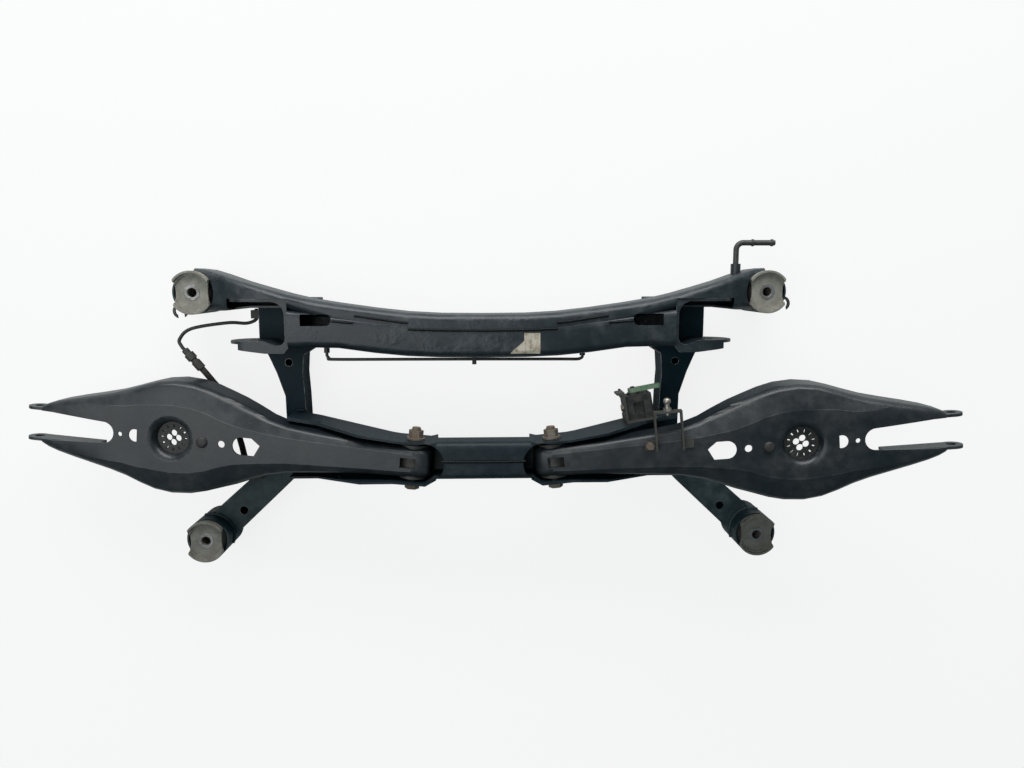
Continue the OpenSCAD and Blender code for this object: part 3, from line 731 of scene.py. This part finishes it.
# Torn bare label on the road face of the front beam
labelPlan = {
    "centre": (58, 110.5), "size": (42, 28.6), "above": 121, "gap": 0.04, "thick": 0.16,  # mm
    "cells": (42, 30),
    "tears": [  # a point on the tear, the side that goes, the stretch of Y
        ((46.8, 105.4), (-0.684, 0.729), (0, 114.8)),
        ((56.5, 119.0), (-0.998, 0.06), (114.0, 130)),
    ],
    "edge": 0.02, "bite": 0.35, "wave": (7.7, 3.1), "waveShare": (0.6, 1.0),  # ragged edge along the tears
    "paper": (0.60, 0.545, 0.445), "stain": (0.22, 0.165, 0.105), "smooth": 50,
    "stainSize": 9, "fibreSize": 0.6, "creaseSize": 6, "creaseAlong": (1, 0.12, 1), "relief": 0.05,
}


def labelPaper(plan):
    f = Finish("labelPaper")
    stain = f.noise(plan["stainSize"], 5, 0.65).between(0.44, 0.66) * 0.7
    fibre = f.noise(plan["fibreSize"], 4, 0.7)
    crease = f.noise(plan["creaseSize"], 2, 0.5, plan["creaseAlong"]).between(0.52, 0.60) * 0.25
    colour = f.blend(stain + crease, plan["paper"], plan["stain"])
    return f.close(colour, 0.72 + 0.12 * (fibre - 0.5), 0.0, f.bump(fibre + crease, plan["relief"]))


def tearOff(label, tear):
    point, off, (low, high) = tear
    takeUp(label)
    bpy.ops.object.mode_set(mode="EDIT")
    bpy.ops.mesh.select_all(action="DESELECT")
    bpy.ops.object.mode_set(mode="OBJECT")
    for vert in label.data.vertices:
        vert.select = low < vert.co.y / mm < high
    bpy.ops.object.mode_set(mode="EDIT")
    start = (point[0] * mm, point[1] * mm, 0)
    bpy.ops.mesh.bisect(plane_co=start, plane_no=(*off, 0), clear_outer=True)
    bpy.ops.object.mode_set(mode="OBJECT")


def fray(label, plan):
    for vert in label.data.vertices:
        for point, off, (low, high) in plan["tears"]:
            x, y = vert.co.x / mm, vert.co.y / mm
            away = (x - point[0]) * off[0] + (y - point[1]) * off[1]
            if abs(away) < plan["edge"] and low < y < high:
                waves = zip(plan["waveShare"], plan["wave"], (x, y))
                ragged = sum(share * math.sin(wave * along) for share, wave, along in waves)
                vert.co.x -= plan["bite"] * (1 + ragged) * off[0] * mm
                vert.co.y -= plan["bite"] * (1 + ragged) * off[1] * mm


def makeLabel(plan):
    finishes["labelPaper"] = labelPaper(plan)
    bpy.ops.object.select_all(action="DESELECT")
    place = (plan["centre"][0] * mm, plan["centre"][1] * mm, plan["above"] * mm)
    across, along = plan["cells"]
    bpy.ops.mesh.primitive_grid_add(x_subdivisions=across, y_subdivisions=along, size=1, location=place)
    label = bpy.context.object
    label.name = "torn_label"
    label.scale = (plan["size"][0] * mm, plan["size"][1] * mm, 1)
    bpy.ops.object.transform_apply(location=True, rotation=True, scale=True)
    for tear in plan["tears"]:
        tearOff(label, tear)
    fray(label, plan)
    modify(label, "SHRINKWRAP", {
        "target": skins["front_crossmember"], "wrap_method": "PROJECT", "use_project_z": True,
        "use_negative_direction": True, "offset": plan["gap"] * mm,
    })
    modify(label, "SOLIDIFY", {"thickness": plan["thick"] * mm, "offset": 1})
    smoothShade(label, plan["smooth"])
    settle(label, "frame", ["labelPaper"])


makeLabel(labelPlan)
print("label laid")


# Weld beads where the pressed sheets meet, rippled and painted over
beadPlan = {
    "radius": 2.6, "ripple": 1.1,
    "lines": {  # right side, mm; the left one is its mirror image
        "rear_joint": [(263, 7.2, 51), (276.5, 7.4, 51), (277, 2, 51), (277, -40, 51), (277, -79, 51)],
        "front_joint": [
            (241, 103.5, 52), (268, 103.4, 52), (286, 103.2, 51.5), (302, 109.3, 51), (324, 109.4, 51),
        ],
        "leg_joint": [(262.5, -46, 51), (276, -45, 51), (289, -46, 51)],
    },
    "ring": {"centre": (406, -180), "radius": 31.2, "height": 50.6, "arc": (70, 206), "steps": 8},
}
seamPlan = {
    "radius": 1.8, "ripple": 1.0,
    "lines": {
        "left_seam": [(-176, 149, 116.2), (-150, 145.2, 116.3), (-125, 141.6, 116.3), (-103, 139, 116.3)],
        "middle_seam": [
            (-103, 130.5, 117.3), (-60, 129, 117.3), (0, 128.5, 117.3),
            (60, 129, 117.3), (103, 130.5, 117.3),
        ],
        "right_seam": [(102, 138.8, 116.3), (125, 141.4, 116.3), (150, 145.0, 116.3), (173, 148.4, 116.2)],
        "right_stub": [(174, 139, 117.2), (190, 140, 117.2), (207, 141.5, 117.2)],
        "left_stub": [(-207, 141.5, 117.2), (-190, 140, 117.2), (-178, 139.3, 117.2)],
        "rear_seam": [(-58, -51, 139.5), (-20, -51.4, 139.5), (20, -51.4, 139.5), (58, -51, 139.5)],
    },
}
beadWork = {"step": 1.4, "rippleSize": 4.2, "fineness": 3, "smooth": 60}  # mm, steps, degrees
beadRipple = bpy.data.textures.new("beadRipple", "CLOUDS")
beadRipple.noise_scale = beadWork["rippleSize"] * mm


def bead(name, points, plan, finish):
    span = lineLength([Vector(p) for p in points]) / (len(points) - 1)
    line = smoothRoute(points, 1 + int(span / beadWork["step"]))
    piece = asMesh(tubeAlong(name, line, plan["radius"], beadWork["fineness"]), beadWork["smooth"])
    modify(piece, "DISPLACE", {
        "texture": beadRipple, "texture_coords": "LOCAL", "strength": plan["ripple"] * mm, "mid_level": 0.5,
    })
    settle(piece, "frame", [finish])


def ringPoints(ring):
    (x, y), (low, high) = ring["centre"], ring["arc"]
    radius, steps = ring["radius"], ring["steps"]
    turns = [math.radians(low + (high - low) * k / steps) for k in range(steps + 1)]
    return [(x + radius * math.cos(a), y + radius * math.sin(a), ring["height"]) for a in turns]


def makeBeads(plan, seams):
    for name, points in plan["lines"].items():
        for side, sign in sides.items():
            bead(side + "_" + name + "_weld", [(sign * x, y, z) for x, y, z in points], plan, "memberPaintShaded")
    for side, sign in sides.items():
        ring = [(sign * x, y, z) for x, y, z in ringPoints(plan["ring"])]
        bead(side + "_leg_ring_weld", ring, plan, "legPaint")
    for name, points in seams["lines"].items():
        bead(name, points, seams, "seamPaint")


makeBeads(beadPlan, seamPlan)
print("weld beads laid")


# Closing sheets that box in the side members and the rear legs, so that their tooling holes look dark
sheetPlan = {
    "height": 10, "thick": 2, "edge": 0.4,
    "outlines": {  # right side, mm; the left one is its mirror image
        "side_member": [
            (243.5, 168), (243.5, 106), (265.5, 92), (267.5, 62), (265.5, 28), (263.5, -41.5),
            (286.5, -41.5), (287.5, 28.5), (298.5, 63), (308.5, 87), (321.5, 113), (321.5, 168),
        ],
        "rear_leg": [(264.5, -48), (289.5, -97), (368.5, -171.8), (393.5, -141.8), (288, -48)],
    },
}


def closingSheet(name, outline, plan):
    mesh = bpy.data.meshes.new(name)
    mesh.from_pydata([(x * mm, y * mm, plan["height"] * mm) for x, y in outline], [], [range(len(outline))])
    piece = newPiece(name, mesh)
    modify(piece, "SOLIDIFY", {"thickness": plan["thick"] * mm, "offset": 0})
    faceOutwards(piece)
    modify(piece, "BEVEL", {"width": plan["edge"] * mm, "segments": 2, "limit_method": "ANGLE"})
    settle(piece, "frame", ["memberPaintShaded"])


for side, sign in sides.items():
    for member, points in sheetPlan["outlines"].items():
        outline = [(sign * x, y) for x, y in points]
        closingSheet(side + "_" + member + "_sheet", outline, sheetPlan)
print("closing sheets made")


# Floor and light
studio = {
    "floor": {
        "size": 9.0, "below": 0.4 * mm, "glow": 0.84,
        "colour": (0.90, 0.91, 0.895), "dim": 0.985, "patch": 400,
    },
    "world": (0.080, 0.118, 0.128), "backdrop": (0.95, 0.96, 0.955), "aim": (0, 0, 0.05),
    "lamps": [
        {"name": "ceilingLamp", "place": (0.0, 2.3, 1.15), "size": (3.4, 1.2), "power": 68},
        {"name": "roomLamp", "place": (-1.5, 0.2, 2.9), "size": (2.4, 2.6), "power": 33},
    ],
}


def makeFloor(plan):
    bpy.ops.mesh.primitive_plane_add(size=plan["size"], location=(0, 0, cadBox[0][2] - plan["below"]))
    floor = bpy.context.object
    floor.name = "floor"
    f = Finish("paleFloor")
    dim = [c * plan["dim"] for c in plan["colour"]]
    shade = f.blend(f.noise(plan["patch"], 3, 0.5).between(0.3, 0.7), plan["colour"], dim)
    lit = f.add("ShaderNodeBsdfDiffuse", {}, {"Color": shade})
    glow = f.add("ShaderNodeEmission", {}, {"Color": (1, 1, 1, 1), "Strength": 1.0})
    seen = f.add("ShaderNodeLightPath", {}, {}, "Is Camera Ray")
    both = f.add("ShaderNodeMixShader", {}, {0: seen * plan["glow"], 1: lit, 2: glow})
    floor.data.materials.append(f.show(both))


def makeWorld(plan):
    world = bpy.data.worlds.new("softRoom")
    scene.world = world
    world.use_nodes = True
    tree = world.node_tree
    soft = tree.nodes["Background"]
    soft.inputs["Color"].default_value = (*plan["world"], 1)
    pale = tree.nodes.new("ShaderNodeBackground")  # what the camera sees past the floor's edge
    pale.inputs["Color"].default_value = (*plan["backdrop"], 1)
    seen = tree.nodes.new("ShaderNodeLightPath")
    both = tree.nodes.new("ShaderNodeMixShader")
    tree.links.new(seen.outputs["Is Camera Ray"], both.inputs[0])
    tree.links.new(soft.outputs[0], both.inputs[1])
    tree.links.new(pale.outputs[0], both.inputs[2])
    tree.links.new(both.outputs[0], tree.nodes["World Output"].inputs["Surface"])


def makeLamp(lamp, aim):
    ray = Vector(aim) - Vector(lamp["place"])
    turn = ray.to_track_quat("-Z", "Y").to_euler()
    bpy.ops.object.light_add(type="AREA", location=lamp["place"], rotation=turn)
    made = bpy.context.object
    made.name = lamp["name"]
    made.data.shape = "RECTANGLE"
    made.data.size, made.data.size_y = lamp["size"]
    made.data.energy = lamp["power"]


makeFloor(studio["floor"])
makeWorld(studio)
for lamp in studio["lamps"]:
    makeLamp(lamp, studio["aim"])
print("floor and light set")
